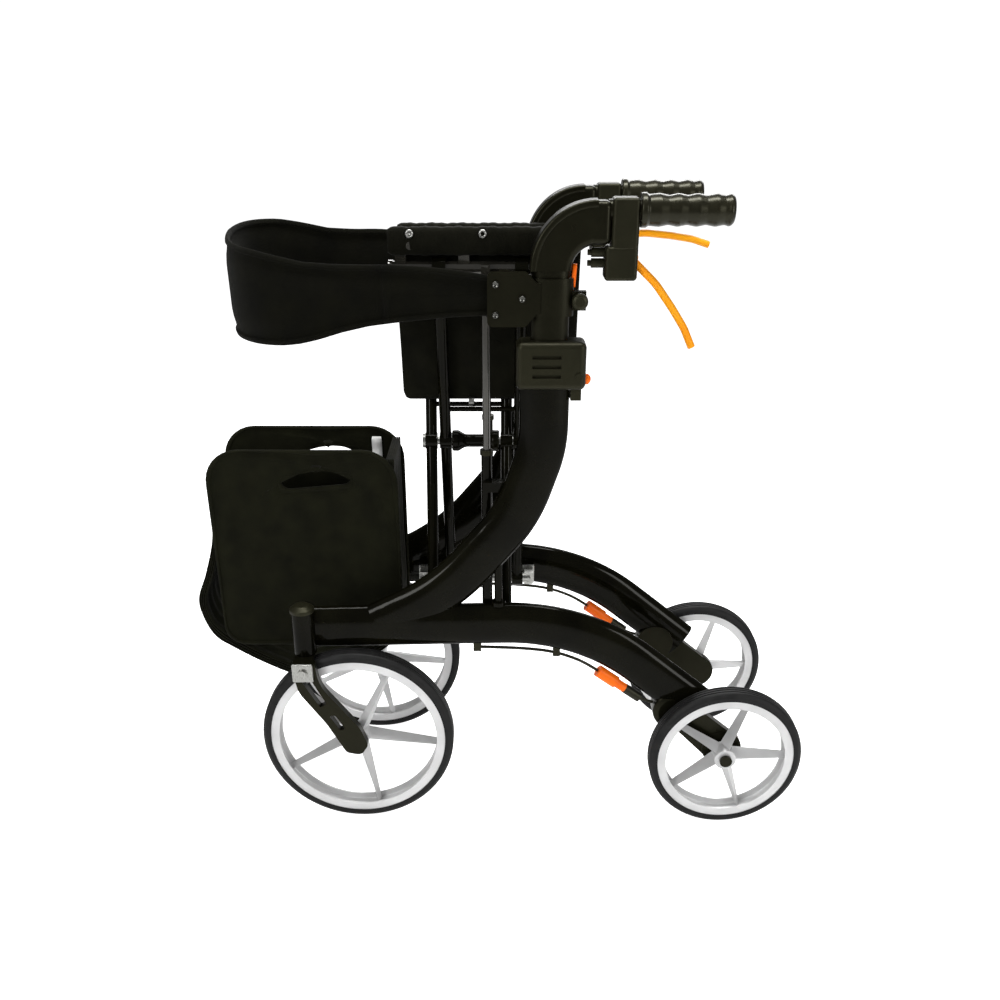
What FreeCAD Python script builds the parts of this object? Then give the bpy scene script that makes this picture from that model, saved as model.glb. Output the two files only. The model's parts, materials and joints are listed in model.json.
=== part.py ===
import FreeCAD, Part
import math
import os
from FreeCAD import Placement, Rotation, Vector

# Folding rollator walker, millimetres. The ground is Z = 0 and +Z is up. The walker
# travels towards -Y, its handles are at +Y, and +X is the walker's own left side.
# It is modelled folded: the two side frames stand close together.

SIZES = {
    "frame_x": 98, "tube_wide": 27, "tube_deep": 56, "tube_level": 276,
    "upright_wide": 26, "upright_deep": 57, "upright_top": 628, "handle_y": 55,
    "inner_wide": 19, "inner_deep": 42, "inner_low": 523, "slide_gap": 0.6,
    "stem_x": 112, "stem_y": -247, "head_radius": 14, "head_low": 247, "head_high": 304.5,
    "stem_radius": 8, "fit_gap": 0.06,
    "front_radius": 125, "front_x": 114, "front_y": -186,
    "rear_radius": 100, "rear_x": 127, "rear_y": 296,
    "tyre_wide": 26, "tyre_deep": 11, "rim_wide": 24, "hub_radius": 14, "axle_radius": 5,
    "pivot_x": 60, "pivot_low": 274, "pivot_high": 704, "shaft_radius": 6,
    "bar_radius": 7, "eye_radius": 11, "centre_radius": 5, "rail_radius": 8,
    "guide_x": 76, "guide_y": -16, "guide_radius": 6.5, "rod_radius": 4.4,
    "elbow_level": 708, "elbow_inner": 26, "elbow_outer": 70, "elbow_wide": 26,
    "elbow_back": 103, "housing_y": 118, "bar_tube_radius": 11, "bar_level": 768,
    "lever_y": 140, "lever_level": 721,
    "strap_x": 102, "strap_pin_y": 4, "strap_thick": 6, "strap_front_y": -236,
    "strap_reach": -313, "strap_low": 625, "strap_high": 731,
    "bag_x": 52, "bag_thick": 4, "bag_front": -363, "bag_rear": -126,
    "bag_low": 226, "bag_high": 493, "wall_thick": 1.8, "wall_step": 2.6, "wall_wide": 97,
    "flap_long": 155, "flap_angle": 71.6, "flap_thick": 2.4,
    "cable_wide": 4, "spokes": 5,
}

doc = FreeCAD.newDocument("rollator_walker")
sheet = doc.addObject("Spreadsheet::Sheet", "Dimensions")
for row, (alias, number) in enumerate(SIZES.items(), start=1):
    sheet.set("A%d" % row, alias)
    sheet.set("B%d" % row, str(number))
    sheet.setAlias("B%d" % row, alias)
doc.recompute()

SIDE_PLANE = Rotation(Vector(0, 1, 0), Vector(0, 0, 1), Vector(1, 0, 0), "ZXY")
FRONT_PLANE = Rotation(Vector(1, 0, 0), Vector(0, 0, 1), Vector(0, -1, 0), "ZXY")
FLAT_PLANE = Rotation()
ALONG = {"x": Rotation(Vector(0, 1, 0), 90), "y": Rotation(Vector(1, 0, 0), -90), "z": Rotation()}
AXES = {"x": Vector(1, 0, 0), "y": Vector(0, 1, 0), "z": Vector(0, 0, 1)}
parts = {}


def size(alias):
    """A driving dimension, read back from the spreadsheet."""
    return float(sheet.get(alias))


def formula(text):
    """Spreadsheet names in an expression, written out with the sheet's own name."""
    words = text.replace("(", " ( ").replace(")", " ) ").split()
    return " ".join("Dimensions." + word if word in SIZES else word for word in words)


def bind(item, **rules):
    for prop, rule in rules.items():
        item.setExpression(prop.replace("_at_", "."), formula(rule))
    return item


def outline(points, closed=True):
    """Straight runs joined by tangent arcs. A point's third number is its arc radius."""
    corners = [Vector(p[0], p[1], 0) for p in points]
    count = len(corners)
    bends = []
    for i, point in enumerate(points):
        at_end = not closed and i in (0, count - 1)
        if len(point) < 3 or at_end:
            bends.append((corners[i], corners[i], None))
            continue
        back = (corners[i - 1] - corners[i]).normalize()
        ahead = (corners[(i + 1) % count] - corners[i]).normalize()
        half = back.getAngle(ahead) / 2
        reach = point[2] / math.tan(half)
        inward = Vector(back + ahead).normalize()
        middle = corners[i] + inward * (point[2] / math.sin(half) - point[2])
        bends.append((corners[i] + back * reach, corners[i] + ahead * reach, middle))
    edges = []
    for i, (entry, leave, middle) in enumerate(bends):
        if middle is not None:
            edges.append(Part.Arc(entry, middle, leave))
        if closed or i < count - 1:
            target = bends[(i + 1) % count][0]
            if leave.distanceToPoint(target) > 1e-6:
                edges.append(Part.LineSegment(leave, target))
    return edges


def sketch(points, base, plane, closed=True):
    drawing = doc.addObject("Sketcher::SketchObject", "Sketch")
    drawing.Placement = Placement(Vector(*base), plane)
    drawing.addGeometry(outline(points, closed), False)
    return drawing


def extruded(drawing, direction, rule):
    solid = doc.addObject("Part::Extrusion", "Extrusion")
    solid.Base = drawing
    solid.DirMode = "Custom"
    solid.Dir = direction
    solid.Solid = True
    return bind(solid, LengthFwd=rule)


def side_plate(points, x, rule):
    """A plate drawn in side view (Y, Z), starting at x and thick along +X."""
    return extruded(sketch(points, (x, 0, 0), SIDE_PLANE), AXES["x"], rule)


def turned(points, centre, axis):
    """A solid of revolution; points are (distance along axis, radius)."""
    plane = FRONT_PLANE if axis == "x" else SIDE_PLANE
    solid = doc.addObject("Part::Revolution", "Revolution")
    solid.Source = sketch(points, centre, plane)
    solid.Axis = AXES[axis]
    solid.Base = Vector(*centre)
    solid.Angle = 360
    solid.Solid = True
    return solid


def swept(points, x, wide, deep):
    """An oval tube along a side-view path: wide along X, deep in the path's plane."""
    spine = sketch(points, (x, 0, 0), SIDE_PLANE, closed=False)
    run = Vector(0, points[1][0] - points[0][0], points[1][1] - points[0][1]).normalize()
    across = AXES["x"].cross(run)
    oval = doc.addObject("Part::Ellipse", "Section")
    major, minor = (deep, wide) if size_of(deep) >= size_of(wide) else (wide, deep)
    long_way = across if major is deep else AXES["x"]
    bind(oval, MajorRadius="%s / 2" % major, MinorRadius="%s / 2" % minor)
    turn = Rotation(long_way, run.cross(long_way), run, "ZXY")
    oval.Placement = Placement(Vector(x, points[0][0], points[0][1]), turn)
    tube = doc.addObject("Part::Sweep", "Sweep")
    tube.Sections = [oval]
    tube.Spine = (spine, ["Edge%d" % (i + 1) for i in range(len(outline(points, False)))])
    tube.Solid = True
    return tube


def size_of(rule):
    """The number behind a plain rule: an alias or a bare number."""
    return size(rule) if rule in SIZES else float(rule)


def rod(radius, start, axis, length):
    solid = doc.addObject("Part::Cylinder", "Cylinder")
    solid.Placement = Placement(Vector(*start), ALONG[axis])
    return bind(solid, Radius=radius, Height=length)


def block(low, high):
    solid = doc.addObject("Part::Box", "Box")
    solid.Length, solid.Width, solid.Height = [b - a for a, b in zip(low, high)]
    solid.Placement.Base = Vector(*low)
    return solid


def oval_post(wide, deep, low, high, x, y):
    """An upright oval prism, deep along Y."""
    oval = doc.addObject("Part::Ellipse", "Section")
    bind(oval, MajorRadius="(%s) / 2" % deep, MinorRadius="(%s) / 2" % wide)
    oval.Placement = Placement(Vector(x, y, low), Rotation(Vector(0, 0, 1), 90))
    return extruded(oval, AXES["z"], str(high - low))


def softened(solid, radius):
    """Every edge rounded by the same radius."""
    doc.recompute()
    rounded = doc.addObject("Part::Fillet", "Fillet")
    rounded.Base = solid
    rounded.Edges = [(i + 1, radius, radius) for i in range(len(solid.Shape.Edges))]
    return rounded


def fused(*solids):
    union = doc.addObject("Part::MultiFuse", "Fusion")
    union.Shapes = list(solids)
    return union


def grouped(*solids):
    group = doc.addObject("Part::Compound", "Group")
    group.Links = list(solids)
    return group


def cut(base, *tools):
    result = base
    for tool in tools:
        step = doc.addObject("Part::Cut", "Cut")
        step.Base = result
        step.Tool = tool
        result = step
    return result


def keep(node, item):
    item.Label = node
    parts[node] = item


def mirrored(item):
    twin = doc.addObject("Part::Mirroring", "Mirror")
    twin.Source = item
    twin.Base = Vector(0, 0, 0)
    twin.Normal = AXES["x"]
    return twin


def keep_pair(name, item):
    keep(name + "_left", item)
    keep(name + "_right", mirrored(item))


# ---- side frame: side tube, upright, head tube, strut and guide tube, one weldment ----
X = size("frame_x")
TUBE_PATH = [(-240, size("tube_level")), (-60, 280, 500), (104, 283, 270), (266, 154)]
UPRIGHT_Y = 50.5
UPRIGHT_PATH = [(-200, 258), (-70, 321, 280), (22, 428, 180), (UPRIGHT_Y, 512, 150),
                (UPRIGHT_Y, size("upright_top"))]
GUIDE_LOW = 300
GUIDE_HIGH = 495
BORE_LOW = 516


def handle_bore():
    return oval_post("inner_wide + 2 * slide_gap", "inner_deep + 2 * slide_gap",
                     BORE_LOW, 640, X, size("handle_y"))


def side_tube():
    """Side tube, eased underneath where the front tyre turns below it."""
    relief = block((X - 20, -262, 240), (X + 20, -148, 2 * size("front_radius") + 1))
    return cut(swept(TUBE_PATH, X, "tube_wide", "tube_deep"), relief)


def upright():
    below = block((X - 40, -300, 150), (X + 40, 60, size("tube_level")))
    return cut(swept(UPRIGHT_PATH, X, "upright_wide", "upright_deep"), below)


def side_frame():
    stem_at = (size("stem_x"), size("stem_y"), size("head_low"))
    head = rod("head_radius", stem_at, "z", "head_high - head_low")
    strut = fused(rod("5", (X, -2, 298), "z", "76"), rod("9", (X, -2, 307), "z", "5"))
    guide_at = (size("guide_x"), size("guide_y"), GUIDE_LOW)
    guide = rod("guide_radius", guide_at, "z", str(GUIDE_HIGH - GUIDE_LOW))
    upper_lug = block((guide_at[0] - 2, guide_at[1] - 4, 452), (X - 8, guide_at[1] + 40, 464))
    lower_lug = block((guide_at[0] - 2, guide_at[1] - 4, 300), (X - 6, guide_at[1] + 4, 340))
    weld = fused(side_tube(), upright(), head, strut, guide, upper_lug, lower_lug)
    stem_hole = rod("stem_radius + fit_gap", (stem_at[0], stem_at[1], 240), "z", "80")
    rod_hole = rod("rod_radius + 0.4", (guide_at[0], guide_at[1], 280), "z", "240")
    return cut(weld, handle_bore(), stem_hole, rod_hole)


def frame_fittings():
    stem_at = (size("stem_x"), size("stem_y"))
    top = size("head_high")
    cap = turned([(0, 0), (0, 15.5), (4, 15.5, 2), (9, 9, 6), (9.5, 0)], (0, 0, 0), "y")
    cap.Placement = Placement(Vector(stem_at[0], stem_at[1], top), Rotation(AXES["x"], 90))
    ring_at = (size("guide_x"), size("guide_y"), GUIDE_HIGH)
    ring = cut(rod("guide_radius + 1.5", ring_at, "z", "6"),
               rod("rod_radius + 0.4", (ring_at[0], ring_at[1], GUIDE_HIGH - 5), "z", "20"))
    gland = cut(block((X - 5, -34, 243), (X + 5, -24, 256)), side_tube())
    clip = cut(block((X - 4, 68, 235), (X + 4, 77, 252)), side_tube())
    screw = rod("4", (X + 19, 88, 597), "x", "1.6")
    return grouped(cap, ring, gland, cut(clip, cable_run()), screw)


def lower_hinge():
    """Steel shaft that one brace swings on, in two lugs on the side tube's inner face."""
    low = size("pivot_low")
    shaft = rod("shaft_radius", (size("pivot_x"), -112, low), "y", "154")
    lugs = [block((size("pivot_x") - 4, y, low - 9), (X - 6, y + 12, low + 9))
            for y in (-112, 30 + 4)]
    ribs = [block((size("pivot_x") + 10, y - 2, low - 13), (size("pivot_x") + 14, y + 14, low + 13))
            for y in (-112, 34)]
    return cut(fused(shaft, *lugs, *ribs), side_tube())


# ---- handle height: collar, button, inner tube ----
COLLAR_LOW = 581
COLLAR_HIGH = 634
BUTTON_LEVEL = 590


def height_collar():
    body = softened(block((X - 19, 18, COLLAR_LOW), (X + 19, 96, COLLAR_HIGH)), 7)
    tail = block((X - 7, 80, 567), (X + 7, 92, COLLAR_LOW + 5))
    vents = [block((X + 15, 36, level), (X + 20, 68, level + 4)) for level in (595, 605.5, 616)]
    pocket = rod("6 + fit_gap", (X, 87, BUTTON_LEVEL), "y", "20")
    return cut(fused(body, tail), swept(UPRIGHT_PATH, X, "upright_wide", "upright_deep"),
               handle_bore(), pocket, *vents)


def height_button():
    return turned([(0, 0), (0, 6), (9, 6, 2.5), (12, 3, 4), (12.4, 0)], (X, 90.5, BUTTON_LEVEL), "y")


def handle_tube():
    high = size("elbow_level")
    return oval_post("inner_wide", "inner_deep", size("inner_low"), high, X, size("handle_y"))


# ---- handle: elbow, brake housing, grip, lever ----
BAR_LEVEL = size("bar_level")


def elbow():
    """Quarter-turn shell from the inner tube up and back into the grip bar."""
    back = size("elbow_back")
    half = size("elbow_wide") / 2
    front = back - size("elbow_outer")
    rear = back - size("elbow_inner")
    section = [(X - half, front, 8), (X + half, front, 8), (X + half, rear, 8), (X - half, rear, 8)]
    bend = doc.addObject("Part::Revolution", "Revolution")
    bend.Source = sketch(section, (0, 0, size("elbow_level")), FLAT_PLANE)
    bend.Axis = Vector(-1, 0, 0)
    bend.Base = Vector(0, back, size("elbow_level"))
    bend.Angle = 90
    bend.Solid = True
    lip = [(X - half - 1, front - 1.2, 3), (X + half + 1, front - 1.2, 3),
           (X + half + 1, front + 7, 3), (X - half - 1, front + 7, 3)]
    rib = doc.addObject("Part::Revolution", "Revolution")
    rib.Source = sketch(lip, (0, 0, size("elbow_level")), FLAT_PLANE)
    rib.Axis = Vector(-1, 0, 0)
    rib.Base = bend.Base
    rib.Angle = 90
    rib.Solid = True
    level = size("elbow_level")
    neck = softened(block((X - half, back - 10, level + size("elbow_inner")),
                          (X + half, size("housing_y"), level + size("elbow_outer"))), 7)
    bar = rod("bar_tube_radius", (X, size("housing_y") - 4, BAR_LEVEL), "y", "130")
    return fused(bend, rib, neck, bar)


def brake_housing():
    """Block that the grip bar passes through, slotted for the lever between two cheeks."""
    back = size("housing_y")
    upper = softened(block((X - 13.5, back, 700), (X + 13.5, back + 29, 781)), 4)
    lower = softened(block((X - 14.5, back - 6, 698), (X + 14.5, back + 29, 733)), 4)
    adjusters = [rod("5", (X, back - 20, level), "y", "24") for level in (715, 726)]
    necks = [rod("3.2", (X, back - 24, level), "y", "8") for level in (715, 726)]
    pivot = (size("lever_y"), size("lever_level"))
    slot = block((X - 7.6, pivot[0] - 10, 690), (X + 7.6, back + 40, pivot[1] + 14))
    pin = rod("3", (X - 13, pivot[0], pivot[1]), "x", "26")
    bar = rod("bar_tube_radius", (X, back - 4, BAR_LEVEL), "y", "130")
    return cut(fused(cut(fused(upper, lower), slot), *adjusters, *necks, pin), bar)


def grip():
    start = size("housing_y") + 30
    profile = [(0, 11), (0, 17.5, 2), (6, 17.5, 2), (9, 15.6, 2)]
    for finger in range(4):
        profile.append((20 + 20 * finger, 16.6, 9))
        profile.append((30 + 20 * finger, 14.6, 9))
    profile += [(95, 16.8, 4), (99, 13, 3), (99, 11)]
    return turned(profile, (X, start, BAR_LEVEL), "y")


def brake_lever(angle):
    """Lever arm with a hub; angle lifts its free end above level."""
    y, level = size("lever_y"), size("lever_level")
    path = [(4, 0), (40, 4, 80), (72, 2, 80), (98, -1, 60), (120, -7)]
    rise = math.radians(angle)
    turned_path = [(y + p[0] * math.cos(rise) - p[1] * math.sin(rise),
                    level + p[0] * math.sin(rise) + p[1] * math.cos(rise)) + tuple(p[2:])
                   for p in path]
    arm = swept(turned_path, X, "12", "8.5")
    hub = rod("8", (X - 7, y, level), "x", "14")
    bore = rod("3 + fit_gap", (X - 10, y, level), "x", "20")
    return cut(fused(arm, hub), bore)


# ---- backrest: bracket, knob, strap ----
def backrest_bracket():
    band = oval_post("inner_wide + 9", "inner_deep + 9", 660, 700, X, size("handle_y"))
    plate = side_plate([(-14, 650, 6), (28, 650, 6), (40, 664), (40, 696), (28, 708, 6),
                        (-14, 708, 6)], X + 10.5, "3.5")
    web = block((X + 5, 34, 664), (X + 14, 44, 696))
    ear = block((X - 5, 76, 666), (X + 5, 94, 686))
    screws = [rod("3.6", (X + 14, y, level), "x", "1.8")
              for y, level in ((-5, 695), (-5, 663), (24, 680))]
    pin_x, pin_y = size("strap_x"), size("strap_pin_y")
    tabs = [block((pin_x - 4, pin_y - 5, level), (X + 11, pin_y + 5, level + 3))
            for level in (650, 705)]
    pin = rod("3", (pin_x, pin_y, 650), "z", "58")
    tube = oval_post("inner_wide", "inner_deep", 640, size("elbow_level"), X, size("handle_y"))
    return cut(fused(band, plate, web, ear, pin, *screws, *tabs), tube)


def clamp_knob():
    head = turned([(0, 0), (0, 9), (6, 9, 3), (8, 5, 2), (8, 0)], (X + 6, 87, 676), "x")
    return head


def strap_arm():
    """Side of the backrest band, wider towards the front, on the bracket's pin."""
    x = size("strap_x") - size("strap_thick") / 2
    front = size("strap_front_y")
    low, high = size("strap_low"), size("strap_high")
    shape = [(10, 658, 5), (10, 703, 5), (-60, 711), (-120, 716), (front, high), (front, low),
             (-136, 648), (-130, 676, 4), (-94, 676, 4), (-88, 655), (-60, 658)]
    band = side_plate(shape, x, "strap_thick")
    fold = rod("strap_thick / 2", (size("strap_x"), front, low), "z", "strap_high - strap_low")
    barrel = rod("6", (size("strap_x"), size("strap_pin_y"), 656), "z", "46")
    bore = rod("3 + fit_gap", (size("strap_x"), size("strap_pin_y"), 640), "z", "80")
    return cut(fused(band, barrel, fold), bore)


def strap_front():
    """Front half of the band, from the side round to the middle."""
    outer = size("strap_x") + size("strap_thick") / 2
    thick = size("strap_thick")
    front, reach = size("strap_front_y"), size("strap_reach")
    start = front - 2.2
    shape = [(outer, start), (outer, reach, 56), (0.5, reach), (0.5, reach + thick),
             (outer - thick, reach + thick, 50), (outer - thick, start)]
    drawing = sketch(shape, (0, 0, size("strap_low")), FLAT_PLANE)
    band = extruded(drawing, AXES["z"], "strap_high - strap_low")
    return cut(band, rod("strap_thick / 2 + 0.4", (size("strap_x"), front, 600), "z", "160"))


# ---- wheels ----
def tyre(radius, x, y):
    half = size("tyre_wide") / 2
    seat = radius - size("tyre_deep")
    profile = [(-half, seat), (half, seat), (half, radius - 5, 5), (half - 4, radius, 4)]
    for offset in (5, 0, -5):
        profile += [(offset + 1.2, radius), (offset + 0.6, radius - 1.6),
                    (offset - 0.6, radius - 1.6), (offset - 1.2, radius)]
    profile += [(4 - half, radius, 4), (-half, radius - 5, 5)]
    return turned(profile, (x, y, radius), "x")


def spoke(x, y, level, turn, inner, outer, side):
    """A ridged spoke: wide and deep at the hub, slim at the rim."""
    loft = doc.addObject("Part::Loft", "Loft")
    sections = []
    for radius, half, deep in ((inner, 8, 10), (outer, 2.8, 6)):
        triangle = doc.addObject("Part::Polygon", "Triangle")
        triangle.Nodes = [Vector(-deep * side, radius, -half), Vector(-deep * side, radius, half),
                          Vector(deep * side, radius, 0)]
        triangle.Close = True
        triangle.Placement = Placement(Vector(x, y, level), Rotation(AXES["x"], turn))
        sections.append(triangle)
    loft.Sections = sections
    loft.Solid = True
    loft.Ruled = True
    return loft


def rim(radius, x, y, phase):
    seat = radius - size("tyre_deep")
    half = size("rim_wide") / 2
    ring = turned([(-half, seat), (half, seat), (half, seat - 11), (half - 2.5, seat - 11),
                   (half - 3.5, seat - 4, 1), (3.5 - half, seat - 4, 1), (2.5 - half, seat - 11),
                   (-half, seat - 11)], (x, y, radius), "x")
    hub = rod("hub_radius", (x - half, y, radius), "x", "rim_wide")
    count = int(size("spokes"))
    spokes = [spoke(x, y, radius, phase + 360 / count * i, size("hub_radius") - 4, seat - 3, 1)
              for i in range(count)]
    bore = rod("axle_radius + fit_gap", (x - 40, y, radius), "x", "80")
    return cut(fused(ring, hub, *spokes), bore)


def caster_fork():
    """Single outside arm and swivel stem, with the front axle."""
    inner_face = size("front_x") + 17
    y, level = size("stem_y"), size("front_radius")
    hub_y = size("front_y")
    arm = side_plate([(y - 15, 246, 4), (y + 15, 246, 4), (y + 19, 214, 60), (hub_y + 6, 150, 40),
                      (hub_y + 15, level, 9), (hub_y + 5, level - 15, 9),
                      (hub_y - 14, level - 11, 9), (y + 24, 158, 60), (y - 8, 204, 40)],
                     inner_face, "11")
    windows = [side_plate([(y - 4, 222, 3), (y + 9, 222, 3), (y + 26, 188, 2), (y + 18, 182, 2)],
                          inner_face - 5, "30"),
               side_plate([(y + 28, 170, 2), (y + 36, 170, 2), (y + 48, 150, 2), (y + 41, 148, 2)],
                          inner_face - 5, "30")]
    stem = rod("stem_radius", (size("stem_x"), y, 243), "z", "56")
    plinth = block((size("stem_x"), y - 12, 243), (inner_face + 4, y + 12, 246.6))
    axle = rod("axle_radius", (91, hub_y, level), "x", str(inner_face + 4 - 91))
    washer = rod("9", (91, hub_y, level), "x", "2.6")
    return fused(cut(arm, *windows), stem, plinth, axle, washer)


def caster_crown():
    """Steel cheek and bolt outside the top of the fork arm."""
    face = size("front_x") + 28
    y = size("stem_y")
    cheek = softened(block((face, y - 13, 221), (face + 4, y + 13, 246)), 1.5)
    bolt = rod("6", (face + 3, y, 233), "x", "4.5")
    return fused(cheek, bolt)


def rear_hub_bracket():
    """Brake drum at the side tube's end, link plate and rear axle."""
    y, level = size("rear_y"), size("rear_radius")
    drum = turned([(0, 0), (0, 27), (24, 27, 4), (27, 20, 3), (27, 0)], (X - 14, 228, 156), "x")
    link = side_plate([(216, 146, 14), (246, 172, 14), (y + 22, level + 14, 20),
                       (y + 10, level - 24, 20), (y - 18, level - 16, 18)], X + 1, "11")
    boss = rod("26", (X + 2, y, level), "x", "11")
    axle = rod("axle_radius", (X + 4, y, level), "x", "40")
    nut = rod("8", (size("rear_x") + 13.5, y, level), "x", "3.5")
    screw = rod("3.5", (X + 12, 222, 148), "x", "2.2")
    return cut(fused(drum, link, boss, axle, nut, screw), side_tube())


# ---- brake cable under the side tube ----
CABLE_PATH = [(-24, 247), (30, 245, 500), (72, 240, 160), (106, 226, 120), (127, 212)]
TAIL_PATH = [(183, 171.5), (192, 167, 40), (201.5, 164.5)]


def cable_run():
    return swept(CABLE_PATH, X, "cable_wide", "cable_wide")


def tilted_rod(radius, start, end, x):
    """A round bar between two side-view points."""
    run = Vector(0, end[0] - start[0], end[1] - start[1])
    bar = doc.addObject("Part::Cylinder", "Cylinder")
    bar.Placement = Placement(Vector(x, *start), Rotation(AXES["z"], run))
    bar.Radius = radius
    bar.Height = run.Length
    return bar


def brake_connector():
    body = tilted_rod(8, (127, 212), (151, 194.5), X)
    neck = tilted_rod(6, (151, 194.5), (163, 185.8), X)
    return fused(body, neck)


def brake_cable():
    boot = tilted_rod(6.5, (163, 185.8), (183, 171.5), X)
    tail = swept(TAIL_PATH, X, "cable_wide", "cable_wide")
    return grouped(cable_run(), fused(boot, tail))


# ---- cross brace ----
BRACE_A_Y = (-86, 8)
BRACE_B_Y = (-68, 24)
CENTRE_LEVEL = (size("pivot_low") + size("pivot_high")) / 2
LATCH_RISE = 45


def brace(bar_rows, foot, centre_gap):
    """Two parallel bars from the foot side's shaft to the other side's seat rail."""
    low, high = size("pivot_low"), size("pivot_high")
    foot_x = size("pivot_x") * foot
    lean = Vector(-2 * foot_x, 0, high - low)
    solids = []
    for y in bar_rows:
        bar = doc.addObject("Part::Cylinder", "Cylinder")
        bar.Placement = Placement(Vector(foot_x, y, low), Rotation(AXES["z"], lean))
        bind(bar, Radius="bar_radius")
        bar.Height = lean.Length
        solids.append(bar)
        for x, level, radius in ((foot_x, low, "eye_radius"), (-foot_x, high, "eye_radius + 1"),
                                 (0, CENTRE_LEVEL, "eye_radius - 1")):
            solids.append(rod(radius, (x, y - 7.5, level), "y", "15"))
    lean.normalize()
    cross_x = lean.x * LATCH_RISE
    cross_z = CENTRE_LEVEL + lean.z * LATCH_RISE
    solids.append(rod("3", (cross_x, bar_rows[0], cross_z), "y", str(bar_rows[1] - bar_rows[0])))
    holes = [rod("shaft_radius + fit_gap", (foot_x, -150, low), "y", "250"),
             rod("rail_radius + fit_gap", (-foot_x, -150, high), "y", "250"),
             rod(centre_gap, (0, -150, CENTRE_LEVEL), "y", "250")]
    return cut(fused(*solids), *holes)


def brace_a_with_spacer():
    bars = brace(BRACE_A_Y, 1, "centre_radius")
    spacer = turned([(0, 5), (0, 13, 2), (8, 13, 5), (16, 8, 12), (43, 8, 12), (51, 13, 5),
                     (59, 13, 2), (59, 5)], (0, -60, CENTRE_LEVEL), "y")
    return grouped(bars, spacer)


def pivot_axle():
    pin = rod("centre_radius", (0, -97, CENTRE_LEVEL), "y", "132")
    heads = [rod("9", (0, y, CENTRE_LEVEL), "y", "3.4") for y in (-97, 31.6)]
    return fused(pin, *heads)


def fold_latch():
    """Catch finger that swings on one brace's cross rod, over the other's."""
    lean = Vector(-2 * size("pivot_x"), 0, size("pivot_high") - size("pivot_low")).normalize()
    x, level = lean.x * LATCH_RISE, CENTRE_LEVEL + lean.z * LATCH_RISE
    finger = [(x - 8, level - 6, 5), (x - 4, level + 9, 4), (x + 33, level + 17, 3),
              (x + 36, level + 10, 2), (x + 5, level - 6.5, 3)]
    plate = extruded(sketch(finger, (0, -32, 0), FRONT_PLANE), Vector(0, -1, 0), "6")
    hole = rod("3 + fit_gap", (x, -60, level), "y", "60")
    return cut(plate, hole)


# ---- seat ----
FLAP_LEVEL = 722
BATTEN_LOW = 720
FLAP_REAR = 89


def seat_rail():
    """Rail tube, batten above it, and the rod that slides in the frame's guide tube."""
    x, high = size("pivot_x"), size("pivot_high")
    tube = rod("rail_radius", (x, -120, high), "y", "172")
    batten = softened(block((x - 4, -122, BATTEN_LOW), (x + 8, 56, 738)), 3)
    posts = [block((x - 1, y, high), (x + 6, y + 12, BATTEN_LOW + 5)) for y in (-116, -46, 38)]
    bolts = [rod("4.2", (x + 8, y, 729), "x", "3") for y in (-99, -19)]
    guide_at = (size("guide_x"), size("guide_y"))
    arm = block((x, guide_at[1] - 5, high - 6), (guide_at[0] + 4, guide_at[1] + 5, high + 6))
    guide = rod("rod_radius", (guide_at[0], guide_at[1], 482), "z", "224")
    cap = rod("rail_radius + 1", (x, -124, high), "y", "5")
    return fused(tube, batten, *posts, *bolts, arm, guide, cap)


def seat_flap():
    """Half of the seat cloth, hanging folded from its rail towards the middle."""
    drop = math.radians(size("flap_angle"))
    x = size("pivot_x") - 5.8
    length, thick = size("flap_long"), size("flap_thick")
    run = Vector(-math.cos(drop), -math.sin(drop), 0)
    side = Vector(-run.y, run.x, 0)
    start = Vector(x, FLAP_LEVEL, 0)
    corners = [start, start + run * length, start + run * length + side * thick,
               start + side * thick]
    drawing = sketch([(c.x, c.y) for c in corners], (0, FLAP_REAR, 0), FRONT_PLANE)
    cloth = extruded(drawing, Vector(0, -1, 0), "205")
    hem = rod("1.2", (x, FLAP_REAR - 205, FLAP_LEVEL), "y", "205")
    eyes = [rod("eye_radius + 6", (size("pivot_x"), y - 10, size("pivot_high")), "y", "20")
            for y in BRACE_A_Y + BRACE_B_Y]
    return cut(fused(cloth, hem), *eyes)


# ---- tote bag ----
def bag_panel():
    front, rear = size("bag_front"), size("bag_rear")
    low, high = size("bag_low"), size("bag_high")
    shape = [(front, low, 28), (rear, low, 22), (rear, high, 42), (front, high, 46)]
    panel = side_plate(shape, size("bag_x") - size("bag_thick") / 2, "bag_thick")
    slot = side_plate([(-273, 442, 8), (-264, 464, 8), (-184, 470, 8), (-182, 448, 8)], 40, "30")
    return cut(panel, slot)


def bag_wall(layer):
    """One of four nested bands of gusset cloth: front wall, hanging bottom, rear wall."""
    inset = layer * size("wall_step")
    thick = size("wall_thick")

    def band(offset):
        front, rear = size("bag_front") + offset, size("bag_rear") - 4 - offset
        low = size("bag_low") + offset
        return [(front + 2, 452), (front - 3, 350, 120), (front - 36.5, 290, 40),
                (front - 15, low + 8, 40), (front + 82, low - 52, 50), (rear - 50, low - 24, 90),
                (rear, low + 14, 30), (rear, 480)]

    outer = band(inset)
    inner = band(inset + thick)
    shape = outer + list(reversed(inner))
    half = size("wall_wide") / 2
    return side_plate(shape, -half, "wall_wide")


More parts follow.
